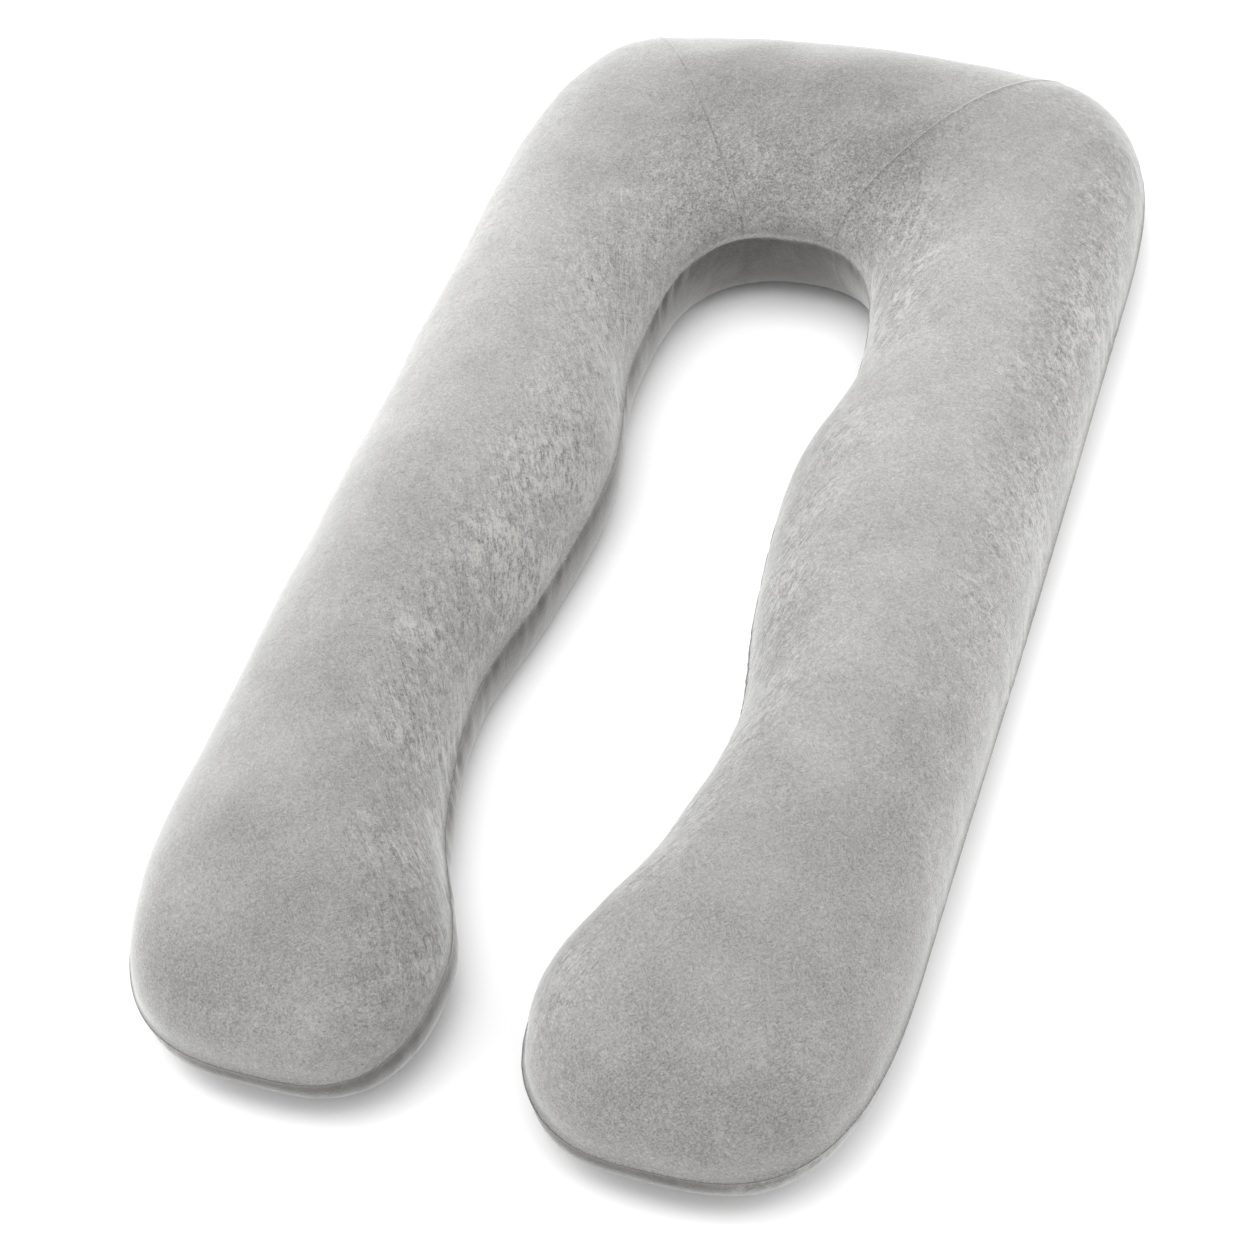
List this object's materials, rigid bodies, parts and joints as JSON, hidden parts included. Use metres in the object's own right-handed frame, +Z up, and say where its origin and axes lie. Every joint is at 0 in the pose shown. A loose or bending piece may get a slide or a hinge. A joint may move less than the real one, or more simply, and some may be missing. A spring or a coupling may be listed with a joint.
{
  "type": "pregnancy pillow",
  "caption": "U-shaped filled body pillow in a short plush cover, with a closed crown, waisted legs, rounded feet and a drawn-in edge seam, to lie inside or hug.",
  "frame": {"origin": "middle of the pillow's outline, on the surface it rests on", "axes": "+Y along the legs towards the closed crown, +X across to one leg, +Z up through the thickness"},
  "size_m": [0.7404, 1.4499, 0.197],
  "materials": {
    "cover": "short crushed plush, matt"
  },
  "bodies": {
    "root": {"pillow": "cover"}
  },
  "joints": []
}
